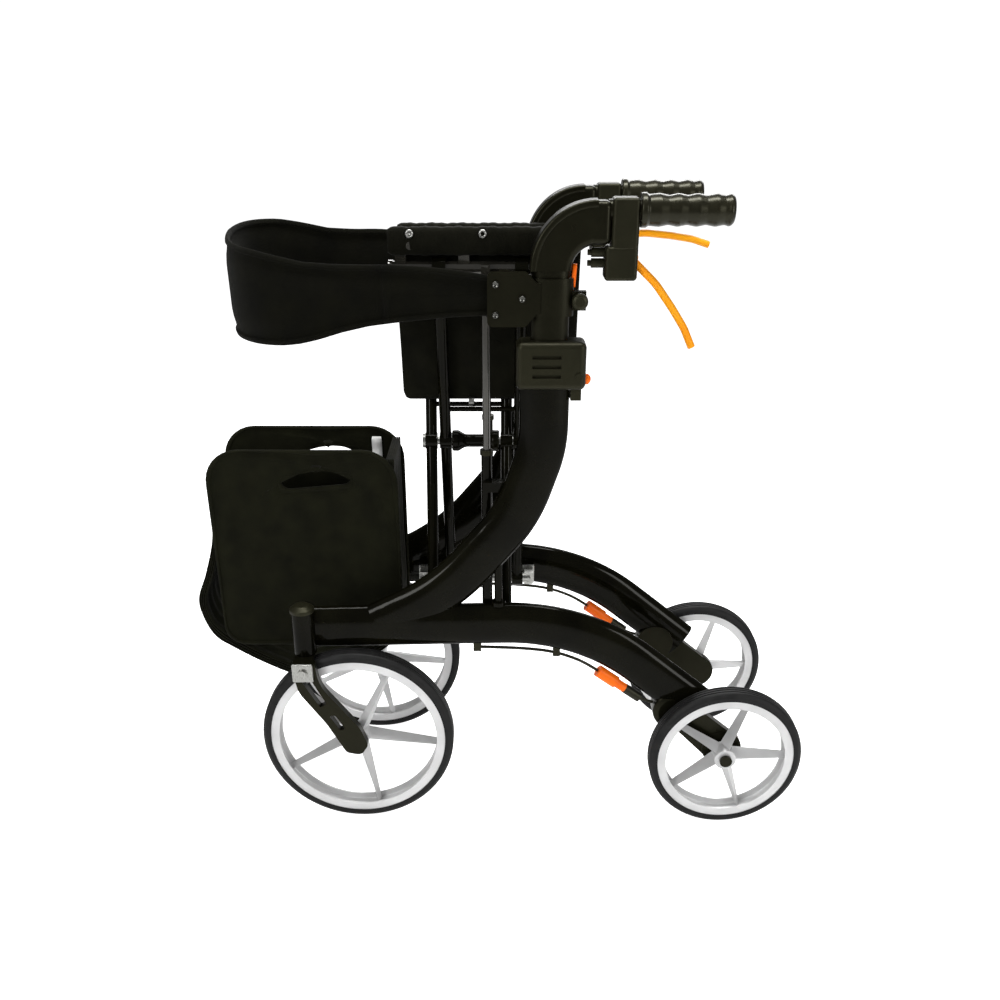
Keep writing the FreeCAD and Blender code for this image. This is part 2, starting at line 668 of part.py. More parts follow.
keep_pair("side_frame", side_frame())
keep_pair("frame_fittings", frame_fittings())
keep_pair("lower_hinge", lower_hinge())
keep_pair("height_collar", height_collar())
keep_pair("height_button", height_button())
keep_pair("handle_tube", handle_tube())
keep_pair("handle_elbow", elbow())
keep_pair("brake_housing", brake_housing())
keep_pair("grip", grip())
keep("brake_lever_left", brake_lever(-49))
keep("brake_lever_right", mirrored(brake_lever(-2)))
keep_pair("backrest_bracket", backrest_bracket())
keep_pair("clamp_knob", clamp_knob())
keep_pair("strap_arm", strap_arm())
keep_pair("strap_front", strap_front())
keep_pair("caster_fork", caster_fork())
keep_pair("caster_crown", caster_crown())
keep_pair("front_tyre", tyre(size("front_radius"), size("front_x"), size("front_y")))
keep_pair("front_rim", rim(size("front_radius"), size("front_x"), size("front_y"), -7))
keep_pair("rear_tyre", tyre(size("rear_radius"), size("rear_x"), size("rear_y")))
keep_pair("rear_rim", rim(size("rear_radius"), size("rear_x"), size("rear_y"), 0))
keep_pair("rear_hub_bracket", rear_hub_bracket())
keep_pair("brake_connector", brake_connector())
keep_pair("brake_cable", brake_cable())
keep_pair("seat_rail", seat_rail())
keep_pair("seat_flap", seat_flap())
keep_pair("bag_panel", bag_panel())
for layer, wall in enumerate(("a", "b", "c", "d")):
    keep("bag_wall_" + wall, bag_wall(layer))
keep("brace_a", brace_a_with_spacer())
keep("brace_b", brace(BRACE_B_Y, -1, "centre_radius + fit_gap"))
keep("pivot_axle", pivot_axle())
keep("fold_latch", fold_latch())

doc.recompute()
failed = [item.Label for item in doc.Objects if "Invalid" in item.State or "Error" in item.State]
failed += [node for node, item in parts.items() if item.Shape.isNull() or not item.Shape.isValid()]
if failed:
    raise RuntimeError("not built: " + ", ".join(failed))

os.makedirs("parts", exist_ok=True)
for node, item in parts.items():
    item.Shape.exportStep("parts/" + node + ".step")
print("nodes:", len(parts))
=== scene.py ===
"""Rollator walker, folded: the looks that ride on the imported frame. All lengths are metres."""
import json
import math

import bmesh
import bpy
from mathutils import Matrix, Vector


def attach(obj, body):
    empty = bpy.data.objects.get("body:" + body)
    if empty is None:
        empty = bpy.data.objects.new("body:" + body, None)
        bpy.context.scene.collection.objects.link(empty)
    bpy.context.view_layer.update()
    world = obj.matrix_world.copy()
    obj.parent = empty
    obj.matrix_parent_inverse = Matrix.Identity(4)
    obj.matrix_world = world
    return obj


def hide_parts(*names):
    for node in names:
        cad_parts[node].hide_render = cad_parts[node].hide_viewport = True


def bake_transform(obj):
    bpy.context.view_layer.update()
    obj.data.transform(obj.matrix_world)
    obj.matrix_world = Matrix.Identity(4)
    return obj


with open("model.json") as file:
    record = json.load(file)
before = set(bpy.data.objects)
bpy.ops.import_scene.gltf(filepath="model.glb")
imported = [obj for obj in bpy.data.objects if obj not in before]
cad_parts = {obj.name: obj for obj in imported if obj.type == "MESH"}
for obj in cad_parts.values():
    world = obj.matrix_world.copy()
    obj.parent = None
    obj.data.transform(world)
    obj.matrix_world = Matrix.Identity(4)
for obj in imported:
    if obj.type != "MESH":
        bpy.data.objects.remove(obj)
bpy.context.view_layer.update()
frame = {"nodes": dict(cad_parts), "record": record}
SIDES = (("left", 1), ("right", -1))


# ---------------------------------------------------------------- materials
def new_material(name):
    material = bpy.data.materials.new(name)
    material.use_nodes = True
    tree = material.node_tree
    return material, tree, tree.nodes["Principled BSDF"]


def link(tree, source, target):
    tree.links.new(source, target)


def coordinates(tree, scale=(1, 1, 1), turn=(0, 0, 0)):
    """Object coordinates, in metres, with a stretch and a turn."""
    texture = tree.nodes.new("ShaderNodeTexCoord")
    mapping = tree.nodes.new("ShaderNodeMapping")
    mapping.inputs["Scale"].default_value = scale
    mapping.inputs["Rotation"].default_value = turn
    link(tree, texture.outputs["Object"], mapping.inputs["Vector"])
    return mapping.outputs["Vector"]


def noise(tree, vector, scale, detail=3.0):
    node = tree.nodes.new("ShaderNodeTexNoise")
    node.inputs["Scale"].default_value = scale
    node.inputs["Detail"].default_value = detail
    link(tree, vector, node.inputs["Vector"])
    return node.outputs["Fac"]


def wave(tree, vector, scale, direction="X", distortion=0.0):
    node = tree.nodes.new("ShaderNodeTexWave")
    node.bands_direction = direction
    node.inputs["Scale"].default_value = scale
    node.inputs["Distortion"].default_value = distortion
    link(tree, vector, node.inputs["Vector"])
    return node.outputs["Fac"]


def ramp(tree, value, low, high, start=0.3, end=0.7):
    node = tree.nodes.new("ShaderNodeValToRGB")
    node.color_ramp.elements[0].color = (*low, 1)
    node.color_ramp.elements[1].color = (*high, 1)
    node.color_ramp.elements[0].position = start
    node.color_ramp.elements[1].position = end
    link(tree, value, node.inputs["Fac"])
    return node.outputs["Color"]


def span(tree, value, low, high):
    node = tree.nodes.new("ShaderNodeMapRange")
    node.inputs["To Min"].default_value = low
    node.inputs["To Max"].default_value = high
    link(tree, value, node.inputs["Value"])
    return node.outputs["Result"]


def calculate(tree, kind, a, b):
    node = tree.nodes.new("ShaderNodeMath")
    node.operation = kind
    for socket, value in zip(node.inputs, (a, b)):
        if isinstance(value, (int, float)):
            socket.default_value = value
        else:
            link(tree, value, socket)
    return node.outputs["Value"]


def bump(tree, shader, height, strength, distance):
    node = tree.nodes.new("ShaderNodeBump")
    node.inputs["Strength"].default_value = strength
    node.inputs["Distance"].default_value = distance
    link(tree, height, node.inputs["Height"])
    link(tree, node.outputs["Normal"], shader.inputs["Normal"])


OLIVE_SHEEN = (1.0, 0.97, 0.66, 1.0)


def smooth_coating(name, low, high, rough, metallic=0.0, coat=0.0, gloss=0.5, grain=900.0,
                   depth=0.00002):
    """Paint, plastic or metal: slight colour drift, uneven gloss and a fine surface grain."""
    material, tree, shader = new_material(name)
    vector = coordinates(tree)
    link(tree, ramp(tree, noise(tree, vector, 18), low, high), shader.inputs["Base Color"])
    link(tree, span(tree, noise(tree, vector, 60), rough[0], rough[1]), shader.inputs["Roughness"])
    shader.inputs["Metallic"].default_value = metallic
    shader.inputs["Coat Weight"].default_value = coat
    shader.inputs["Coat Roughness"].default_value = 0.08
    shader.inputs["Specular IOR Level"].default_value = gloss
    if high[0] < 0.02:
        shader.inputs["Specular Tint"].default_value = OLIVE_SHEEN
    bump(tree, shader, noise(tree, vector, grain, 4), 0.25, depth)
    return material


def woven(name, low, high, threads=420.0, depth=0.00025, sheen=0.03):
    """Cloth: two crossed thread waves, broken up by noise."""
    material, tree, shader = new_material(name)
    vector = coordinates(tree)
    slanted = coordinates(tree, turn=(0.8, 0.6, 0.9))
    warp = wave(tree, vector, threads, "Z", 1.2)
    weft = wave(tree, slanted, threads, "Y", 1.2)
    cloth = calculate(tree, "MULTIPLY", warp, weft)
    blotch = noise(tree, vector, 35, 5)
    tone = calculate(tree, "ADD", calculate(tree, "MULTIPLY", cloth, 0.45), blotch)
    link(tree, ramp(tree, tone, low, high, 0.3, 0.95), shader.inputs["Base Color"])
    link(tree, span(tree, blotch, 0.72, 0.92), shader.inputs["Roughness"])
    shader.inputs["Sheen Weight"].default_value = sheen
    shader.inputs["Sheen Roughness"].default_value = 0.5
    shader.inputs["Specular IOR Level"].default_value = 0.05
    bump(tree, shader, cloth, 0.6, depth)
    return material


def tyre_rubber():
    """Dull black rubber with a little dust."""
    material, tree, shader = new_material("tyre_rubber")
    vector = coordinates(tree)
    dust = noise(tree, vector, 90, 6)
    link(tree, ramp(tree, dust, (0.0035, 0.0035, 0.0035), (0.010, 0.010, 0.0098)),
         shader.inputs["Base Color"])
    link(tree, span(tree, dust, 0.42, 0.66), shader.inputs["Roughness"])
    shader.inputs["Specular IOR Level"].default_value = 0.22
    bump(tree, shader, noise(tree, vector, 1600, 2), 0.3, 0.00006)
    return material


def brushed_steel():
    """Steel with fine streaks."""
    material, tree, shader = new_material("steel")
    vector = coordinates(tree, scale=(1, 12, 1))
    streak = noise(tree, vector, 220, 4)
    link(tree, ramp(tree, streak, (0.24, 0.24, 0.22), (0.5, 0.5, 0.48)),
         shader.inputs["Base Color"])
    link(tree, span(tree, streak, 0.18, 0.4), shader.inputs["Roughness"])
    shader.inputs["Metallic"].default_value = 1.0
    bump(tree, shader, streak, 0.12, 0.00004)
    return material


MATERIALS = {
    "frame_paint": smooth_coating("frame_paint", (0.0016, 0.0015, 0.0007), (0.0042, 0.004, 0.0018),
                                  (0.14, 0.22), coat=0.14, gloss=0.02, grain=240, depth=0.00001),
    "rail_paint": smooth_coating("rail_paint", (0.03, 0.028, 0.022), (0.05, 0.047, 0.037),
                                 (0.1, 0.16), metallic=0.5, coat=1.0, gloss=0.6, grain=240,
                                 depth=0.00001),
    "black_plastic": smooth_coating("black_plastic", (0.0048, 0.0047, 0.0022),
                                    (0.0095, 0.0092, 0.0046), (0.34, 0.5), gloss=0.24, grain=1400,
                                    depth=0.00005),
    "black_metal": smooth_coating("black_metal", (0.0022, 0.0021, 0.001), (0.005, 0.0048, 0.0024),
                                  (0.24, 0.36), gloss=0.18, grain=1100, depth=0.00003),
    "grip_rubber": smooth_coating("grip_rubber", (0.004, 0.0037, 0.0018), (0.010, 0.0093, 0.005),
                                  (0.2, 0.4), coat=0.12, gloss=0.25, grain=420, depth=0.0003),
    "orange_plastic": smooth_coating("orange_plastic", (0.95, 0.115, 0.001), (1.0, 0.17, 0.004),
                                     (0.35, 0.46), gloss=0.2),
    "lever_coating": smooth_coating("lever_coating", (1.0, 0.3, 0.001), (1.0, 0.42, 0.005),
                                    (0.35, 0.5), gloss=0.2, grain=160, depth=0.0004),
    "rim_silver": smooth_coating("rim_silver", (0.58, 0.58, 0.58), (0.74, 0.74, 0.74),
                                 (0.28, 0.4), metallic=0.3, grain=1500),
    "rivet_metal": smooth_coating("rivet_metal", (0.05, 0.05, 0.045), (0.12, 0.12, 0.11),
                                  (0.16, 0.3), metallic=1.0),
    "tyre": tyre_rubber(),
    "steel": brushed_steel(),
    "strap_fabric": woven("strap_fabric", (0.0012, 0.0012, 0.0005), (0.0048, 0.0047, 0.0022), 520),
    "seat_fabric": woven("seat_fabric", (0.0022, 0.0022, 0.001), (0.0085, 0.0083, 0.0046), 380),
    "bag_fabric": woven("bag_fabric", (0.003, 0.0031, 0.0012), (0.0105, 0.0108, 0.0048), 340),
    "cable_jacket": smooth_coating("cable_jacket", (0.004, 0.004, 0.0033), (0.008, 0.008, 0.0067),
                                   (0.35, 0.5), gloss=0.3),
    "tag_cloth": woven("tag_cloth", (0.82, 0.82, 0.8), (0.95, 0.95, 0.93), 600),
}


def dress_cad():
    """Every CAD node gets the material of its slot; the seat rails are polished paint."""
    slots = {part["node"]: part["material_slot"] for part in frame["record"]["subparts"]}
    for name, node in frame["nodes"].items():
        finish = "rail_paint" if name.startswith("seat_rail") else slots[name]
        node.data.materials.clear()
        node.data.materials.append(MATERIALS[finish])


dress_cad()


# ---------------------------------------------------------------- mesh helpers
MERGE_GAP = 0.00002
TURNED_SIDES = 28


def mesh_piece(name, points, faces, material):
    """A smooth-shaded mesh with merged points and outward faces."""
    mesh = bpy.data.meshes.new(name)
    mesh.from_pydata([tuple(p) for p in points], [], faces)
    shape = bmesh.new()
    shape.from_mesh(mesh)
    bmesh.ops.remove_doubles(shape, verts=shape.verts, dist=MERGE_GAP)
    bmesh.ops.recalc_face_normals(shape, faces=shape.faces)
    shape.to_mesh(mesh)
    shape.free()
    mesh.materials.append(material)
    for face in mesh.polygons:
        face.use_smooth = True
    piece = bpy.data.objects.new(name, mesh)
    bpy.context.scene.collection.objects.link(piece)
    return piece


def joined_rings(rings, caps=True):
    """Faces between rings of equal length, and n-gons that close both ends."""
    count = len(rings[0])
    points = [p for ring in rings for p in ring]
    faces = []
    for i in range(len(rings) - 1):
        for j in range(count):
            k = (j + 1) % count
            faces.append((i * count + j, i * count + k, (i + 1) * count + k, (i + 1) * count + j))
    if caps:
        faces.append(tuple(range(count)))
        faces.append(tuple(reversed(range((len(rings) - 1) * count, len(rings) * count))))
    return points, faces


def smoothstep(value, low, high):
    """0 below low, 1 above high, and a soft step between."""
    share = min(max((value - low) / (high - low), 0), 1)
    return share * share * (3 - 2 * share)


def squarish(turn, power):
    """A point on a square with round corners, one unit from middle to side."""
    cosine, sine = math.cos(turn), math.sin(turn)
    return (math.copysign(abs(cosine) ** power, cosine),
            math.copysign(abs(sine) ** power, sine))


SCREW_PROFILE = ((0, 0.0046), (0.0008, 0.0048), (0.0019, 0.0042), (0.0023, 0.0034),
                 (0.0023, 0.0024), (0.0004, 0.0022), (0.0002, 0.0))
RIVET_PROFILE = ((-0.001, 0.0034), (0.0022, 0.0035), (0.0029, 0.003), (0.0029, 0.0024),
                 (0.0021, 0.0018), (0.0021, 0.0))


def turned_piece(name, profile, base, side, material):
    """A small turned part on the X axis: profile is (distance out, radius)."""
    turns = [2 * math.pi * k / TURNED_SIDES for k in range(TURNED_SIDES)]
    rings = []
    for out, radius in profile:
        reach = max(radius, MERGE_GAP)
        rings.append([Vector((base[0] + side * out, base[1] + reach * math.cos(t),
                              base[2] + reach * math.sin(t))) for t in turns])
    points, faces = joined_rings(rings)
    return mesh_piece(name, points, faces, material)


def padded_thickness(inset, crown=0.0042):
    """Half thickness of bound, padded cloth at a distance in from its edge."""
    binding = 0.0065
    if inset < binding:
        return 0.0027 * math.sqrt(max(1 - (1 - inset / binding) ** 2, 0)) + 0.0002
    seam = 0.0011
    return seam + (crown - seam) * smoothstep(inset, binding + 0.001, binding + 0.022)


EDGE_STEPS = (0.0, 0.0006, 0.0018, 0.0038, 0.0056, 0.0065, 0.0076, 0.0105, 0.015, 0.021, 0.03)


# ---------------------------------------------------------------- backrest band
STRAP_START = 0.016
STRAP_REACH = -0.310
STRAP_SPLIT = -0.12
STRAP_X = 0.102
STRAP_BEND = 0.097


def strap_line(side):
    """Centre line of half the band, seen from above: place, outward direction, run so far."""
    line = []
    bend_y = STRAP_REACH + STRAP_BEND
    steps = 24
    for i in range(steps + 1):
        y = STRAP_START + (bend_y - STRAP_START) * i / steps
        line.append((Vector((STRAP_X, y, 0)), Vector((1, 0, 0))))
    for i in range(1, 17):
        turn = math.pi / 2 * i / 16
        out = Vector((math.cos(turn), -math.sin(turn), 0))
        line.append((Vector((STRAP_X - STRAP_BEND, bend_y, 0)) + out * STRAP_BEND, out))
    for i in range(1, 6):
        x = (STRAP_X - STRAP_BEND) * (1 - i / 5) - 0.0008 * i / 5
        line.append((Vector((x, STRAP_REACH, 0)), Vector((0, -1, 0))))
    run = 0
    placed = []
    for i, (place, out) in enumerate(line):
        if i:
            run += (place - line[i - 1][0]).length
        mirror = Vector((side, 1, 1))
        placed.append((place * mirror, out * mirror, run))
    return placed


STRAP_LOWER = ((-0.32, 0.6255), (-0.27, 0.626), (-0.244, 0.627), (-0.221, 0.630), (-0.199, 0.635),
               (-0.176, 0.642), (-0.145, 0.649), (-0.114, 0.653), (-0.083, 0.656),
               (-0.048, 0.659), (0.0, 0.661), (0.02, 0.661))
STRAP_UPPER = ((-0.32, 0.7325), (-0.27, 0.7275), (-0.243, 0.722), (-0.214, 0.716), (-0.18, 0.714),
               (-0.12, 0.714), (-0.081, 0.712), (-0.047, 0.709), (-0.014, 0.704),
               (0.02, 0.702))


def between(table, value):
    """Height from a table of (place, height), joined by straight lines."""
    for (a, low), (b, high) in zip(table, table[1:]):
        if a <= value <= b:
            return low + (high - low) * (value - a) / (b - a)
    raise ValueError(value)


def strap_heights(place):
    """Lowest and highest level of the band; the right half rides up a little."""
    lift = 0.014 * smoothstep(-place.x, -0.09, 0.09) * smoothstep(-place.y, 0.02, 0.16)
    return between(STRAP_LOWER, place.y) + lift * 0.4, between(STRAP_UPPER, place.y) + lift


def strap_piece(name, line, material):
    """Padded band with bound edges along part of the line."""
    rings = []
    for place, out, run in line:
        low, high = strap_heights(place)
        half = (high - low) / 2
        insets = [d for d in EDGE_STEPS if d < half - 0.002] + [half]
        while len(insets) < len(EDGE_STEPS) + 1:
            insets.insert(-1, (insets[-2] + half) / 2)
        ring = []
        lean = 0.003 * math.sin(run * 21) + 0.002 * math.sin(run * 47)
        for sign, order in ((1, insets), (-1, insets[-2::-1])):
            for inset in order:
                level = low + inset if sign == 1 else high - inset
                ring.append((level, padded_thickness(inset)))
        loop = [place + out * (t + lean * (z - low) / (high - low)) + Vector((0, 0, z))
                for z, t in ring]
        loop += [place + out * (lean * (z - low) / (high - low) - t) + Vector((0, 0, z))
                 for z, t in reversed(ring)]
        rings.append(loop)
    points, faces = joined_rings(rings)
    return mesh_piece(name, points, faces, material)


def build_strap(side_name, side):
    """Half the backrest band: the arm on the bracket's pin, and the front."""
    line = strap_line(side)
    split = next(i for i, spot in enumerate(line) if spot[0].y < STRAP_SPLIT)
    arm = strap_piece("backrest_arm_" + side_name, line[:split + 1], MATERIALS["strap_fabric"])
    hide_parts("strap_arm_" + side_name)
    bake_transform(arm)
    front = strap_piece("backrest_front_" + side_name, line[split:], MATERIALS["strap_fabric"])
    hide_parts("strap_front_" + side_name)
    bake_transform(front)


# ---------------------------------------------------------------- seat cloth
RAIL_X = 0.060
FLAP_TOP = 0.722
FLAP_LONG = 0.184
FLAP_FRONT = -0.118
FLAP_REAR = 0.090
FLAP_DROP = math.radians(71.6)


def flap_point(side, along, y, lift):
    """A place on the hanging cloth: distance down from the rail, Y, and height off it."""
    run = Vector((-math.cos(FLAP_DROP), 0, -math.sin(FLAP_DROP)))
    off = Vector((-math.sin(FLAP_DROP), 0, math.cos(FLAP_DROP)))
    droop = 0.0105 * (along / FLAP_LONG) ** 2
    place = Vector((RAIL_X - 0.0055, y, FLAP_TOP)) + run * along + off * (lift - droop)
    return Vector((place.x * side, place.y, place.z))


def flap_reach(y):
    """How far down the cloth hangs at y: straight, with round corners."""
    corner = 0.010
    from_end = min(y - FLAP_FRONT, FLAP_REAR - y)
    if from_end >= corner:
        return FLAP_LONG
    return FLAP_LONG - corner + math.sqrt(corner ** 2 - (corner - from_end) ** 2)


def build_seat_flap(side_name, side):
    """Half of the seat cloth, hanging from its rail while the walker is folded."""
    columns, rows = 44, 48
    half = 0.0011
    top, under = [], []
    for i in range(rows + 1):
        upper, lower = [], []
        for j in range(columns + 1):
            share = (j / columns + smoothstep(j / columns, 0, 1)) / 2
            y = FLAP_FRONT + (FLAP_REAR - FLAP_FRONT) * share
            along = flap_reach(y) * i / rows
            edge = min(along, FLAP_LONG - along, y - FLAP_FRONT, FLAP_REAR - y)
            hem = 0.0008 * (smoothstep(edge, 0, 0.001) - smoothstep(edge, 0.011, 0.0125))
            billow = math.sin(math.pi * along / FLAP_LONG)
            fold = 0.0022 * billow * math.sin(share * 9.5 + along * 14)
            fold += 0.0016 * billow * math.sin(share * 21 - along * 33)
            upper.append(flap_point(side, along, y, fold + half + hem))
            lower.append(flap_point(side, along, y, fold - half - hem))
        top.append(upper)
        under.append(lower)
    rings = [upper + lower[::-1] for upper, lower in zip(top, under)]
    points, faces = joined_rings(rings)
    piece = mesh_piece("seat_cloth_" + side_name, points, faces, MATERIALS["seat_fabric"])
    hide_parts("seat_flap_" + side_name)
    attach(piece, "flap_" + side_name)


SLEEVE_X = 0.0626
SLEEVE_HALF_X = 0.0088
SLEEVE_LOW = 0.7185
SLEEVE_HIGH = {"left": 0.7480, "right": 0.7387}
SLEEVE_FRONT = -0.1235
SLEEVE_LONG = 0.182
SLEEVE_STEPS = 48
BOLT_X = 0.0710
BOLT_Y = (-0.099, -0.019)
BOLT_DROP = 0.0065


def build_batten_sleeve(side_name, side):
    """The hem of the seat cloth, wrapped round the batten and screwed through."""
    high = SLEEVE_HIGH[side_name]
    half_z = (high - SLEEVE_LOW) / 2
    middle = (SLEEVE_LOW + high) / 2
    rings = []
    for i in range(SLEEVE_STEPS + 1):
        y = SLEEVE_FRONT + SLEEVE_LONG * i / SLEEVE_STEPS
        pucker = 0.0004 * math.sin(i * 1.9) + 0.0003 * math.sin(i * 0.7)
        end = min(i, SLEEVE_STEPS - i)
        shrink = 0.8 + 0.2 * smoothstep(end, -0.5, 2)
        ring = []
        for k in range(28):
            across, up = squarish(2 * math.pi * k / 28, 0.45)
            x = across * (SLEEVE_HALF_X + pucker) * shrink
            z = up * (half_z + pucker) * shrink
            ring.append(Vector(((SLEEVE_X + x) * side, y, middle + z)))
        rings.append(ring)
    points, faces = joined_rings(rings)
    piece = mesh_piece("batten_sleeve_" + side_name, points, faces, MATERIALS["seat_fabric"])
    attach(piece, "rail_" + side_name)
    for number, y in enumerate(BOLT_Y):
        bolt = turned_piece("batten_bolt_%s_%d" % (side_name, number), SCREW_PROFILE,
                            (side * BOLT_X, y, high - BOLT_DROP), side, MATERIALS["steel"])
        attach(bolt, "rail_" + side_name)


RIVET_X = 0.1133
RIVET_SPOTS = ((-0.005, 0.695), (-0.005, 0.663), (0.024, 0.680))


def build_rivet_rims(side_name, side):
    """Bright rims round the three screws of the backrest bracket's plate."""
    for number, (y, level) in enumerate(RIVET_SPOTS):
        rim = turned_piece("bracket_rivet_%s_%d" % (side_name, number), RIVET_PROFILE,
                           (side * RIVET_X, y, level), side, MATERIALS["rivet_metal"])
        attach(rim, "handle_" + side_name)


# ---------------------------------------------------------------- tote bag
BAG_X = 0.052
BAG_FRONT, BAG_REAR = -0.363, -0.126
BAG_LOW, BAG_HIGH = 0.226, 0.493
SLOT_FROM, SLOT_TO = Vector((-0.260, 0.453)), Vector((-0.193, 0.459))
SLOT_HALF = 0.0095


def rounded_outline(turn):
    """Panel edge seen from the side, at an angle round its middle."""
    middle = Vector(((BAG_FRONT + BAG_REAR) / 2, (BAG_LOW + BAG_HIGH) / 2))
    half = Vector(((BAG_REAR - BAG_FRONT) / 2, (BAG_HIGH - BAG_LOW) / 2))
    way = Vector((math.cos(turn), math.sin(turn)))
    radius = 0.043 if way.y > 0 else 0.026
    low, high = 0.0, 0.4
    for _ in range(40):
        reach = (low + high) / 2
        spot = way * reach
        over = Vector((max(abs(spot.x) - half.x + radius, 0),
                       max(abs(spot.y) - half.y + radius, 0)))
        if over.length > radius or abs(spot.x) > half.x or abs(spot.y) > half.y:
            high = reach
        else:
            low = reach
    return middle + way * low


def slot_outline(turn):
    """Handle slot's edge: a long hole with round ends, leaning a little."""
    middle = (SLOT_FROM + SLOT_TO) / 2
    way = Vector((math.cos(turn), math.sin(turn)))
    run = (SLOT_TO - SLOT_FROM).normalized()
    half = (SLOT_TO - SLOT_FROM).length / 2
    low, high = 0.0, 0.2
    for _ in range(40):
        reach = (low + high) / 2
        spot = way * reach
        along = min(max(spot.dot(run), -half), half)
        if (spot - run * along).length > SLOT_HALF:
            high = reach
        else:
            low = reach
    return middle + way * low


def build_bag_panel(side_name, side):
    """Stiff side of the bag: bound edge, sewn line, bound handle slot."""
    count = 120
    turns = [2 * math.pi * k / count for k in range(count)]
    outer = [rounded_outline(t) for t in turns]
    inner = [slot_outline(t) for t in turns]
    steps = [(d, padded_thickness(d, 0.0024)) for d in EDGE_STEPS]
    faces_out = []
    for face in (1, -1):
        rings = []
        for inset, half in steps:
            rings.append([(o + (i - o).normalized() * inset, half) for o, i in zip(outer, inner)])
        for share in (0.15, 0.3, 0.45, 0.6, 0.75, 0.9):
            ring = []
            for o, i in zip(outer, inner):
                way = (i - o).normalized()
                first, last = o + way * 0.03, i - way * 0.012
                end = last if (last - first).dot(way) > 0 else i
                spot = first.lerp(end, share)
                sag = 0.0009 * math.sin(spot.x * 31) * math.sin(spot.y * 27)
                ring.append((spot, 0.0024 + sag * face))
            rings.append(ring)
        for inset, half in ((0.009, 0.0022), (0.0065, 0.0012), (0.005, 0.0025), (0.002, 0.0028),
                            (0.0, 0.0004)):
            rings.append([(i + (o - i).normalized() * min(inset, (o - i).length * 0.5), half)
                          for o, i in zip(outer, inner)])
        faces_out.append(rings)
    loops = faces_out[0] + faces_out[1][::-1]
    signs = [1] * len(faces_out[0]) + [-1] * len(faces_out[1])
    rings = [[Vector((side * (BAG_X + sign * half), spot.x, spot.y)) for spot, half in ring]
             for ring, sign in zip(loops, signs)]
    points, faces = joined_rings(rings + [rings[0]], caps=False)
    piece = mesh_piece("bag_side_" + side_name, points, faces, MATERIALS["bag_fabric"])
    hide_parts("bag_panel_" + side_name)
    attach(piece, "frame_" + side_name)


WALLS = (("a", "frame_left"), ("b", "bag_middle_left"), ("c", "bag_middle_right"),
         ("d", "frame_right"))
WALL_HALF = 0.0485
WALL_STEP = 0.0026
PLEAT = 0.0867 / 4


def wall_profile(layer):
    """Side-view line of one gusset band: front, hanging bottom, rear."""
    inset = layer * WALL_STEP + 0.0009
    front, rear = BAG_FRONT + inset, BAG_REAR - 0.004 - inset
    low = BAG_LOW + inset
    return [(front + 0.002, 0.4515), (front - 0.002, 0.38), (front - 0.016, 0.33),
            (front - 0.0305, 0.292), (front - 0.027, 0.262), (front - 0.015, low + 0.010),
            (front + 0.006, low - 0.006), (front + 0.046, low - 0.030),
            (front + 0.088, low - 0.048), (rear - 0.11, low - 0.042),
            (rear - 0.05, low - 0.024), (rear - 0.012, low + 0.002), (rear, low + 0.03),
            (rear, 0.36), (rear, 0.4795)]


def smooth_line(corners, pieces=10):
    """Points along a smooth line through the corners."""
    line = []
    padded = [corners[0]] + list(corners) + [corners[-1]]
    for i in range(1, len(padded) - 2):
        a, b, c, d = (Vector(p) for p in padded[i - 1:i + 3])
        for k in range(pieces):
            t = k / pieces
            line.append(0.5 * (2 * b + (c - a) * t + (2 * a - 5 * b + 4 * c - d) * t * t
                               + (3 * b - a - 3 * c + d) * t ** 3))
    line.append(Vector(corners[-1]))
    return line


def build_bag_wall(layer, letter, body):
    """One band of gusset cloth with soft pleats and a hem at both ends."""
    line = smooth_line(wall_profile(layer))
    columns = 64
    half = 0.0006
    length = sum((b - a).length for a, b in zip(line, line[1:]))
    rings = []
    run = 0
    for i, spot in enumerate(line):
        ahead = line[min(i + 1, len(line) - 1)] - line[max(i - 1, 0)]
        out = Vector((-ahead.y, ahead.x)).normalized()
        if i:
            run += (spot - line[i - 1]).length
        ends = min(run, length - run)
        hem = 0.0004 * (1 - smoothstep(ends, 0.01, 0.012))
        depth = 0.0011 * smoothstep(ends, 0.0, 0.05)
        upper, lower = [], []
        for j in range(columns + 1):
            x = -WALL_HALF + 2 * WALL_HALF * j / columns
            pleat = depth * math.cos(2 * math.pi * x / PLEAT)
            for bucket, lift in ((upper, half + hem), (lower, -half - hem)):
                place = spot + out * (pleat + lift)
                bucket.append(Vector((x, place.x, place.y)))
        rings.append(upper + lower[::-1])
    points, faces = joined_rings(rings)
    piece = mesh_piece("bag_gusset_" + letter, points, faces, MATERIALS["bag_fabric"])
    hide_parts("bag_wall_" + letter)
    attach(piece, body)


def band_piece(name, path, wide, thick, material):
    """Flat webbing along a path, its width across the path in a level plane."""
    line = []
    for first, last in zip(path, path[1:]):
        line += [first.lerp(last, k / 6) for k in range(6)]
    line.append(path[-1])
    rings = []
    for i, place in enumerate(line):
        ahead = (line[min(i + 1, len(line) - 1)] - line[max(i - 1, 0)]).normalized()
        across = ahead.cross(Vector((-math.sin(FLAP_DROP), 0, math.cos(FLAP_DROP)))).normalized()
        off = across.cross(ahead).normalized()
        rings.append([place + across * (wide / 2 * u) + off * (thick / 2 * v)
                      for u, v in ((-1, -0.4), (-0.9, -1), (0.9, -1), (1, -0.4),
                                   (1, 0.4), (0.9, 1), (-0.9, 1), (-1, 0.4))])
    points, faces = joined_rings(rings)
    return mesh_piece(name, points, faces, material)


LOOP_WIDE, LOOP_THICK = 0.012, 0.0011
LOOP_PATH = ((0.176, -0.036, 0.0015), (0.166, -0.031, 0.004), (0.150, -0.023, 0.007),
             (0.132, -0.014, 0.008), (0.118, -0.007, 0.006), (0.110, -0.002, 0.0015))


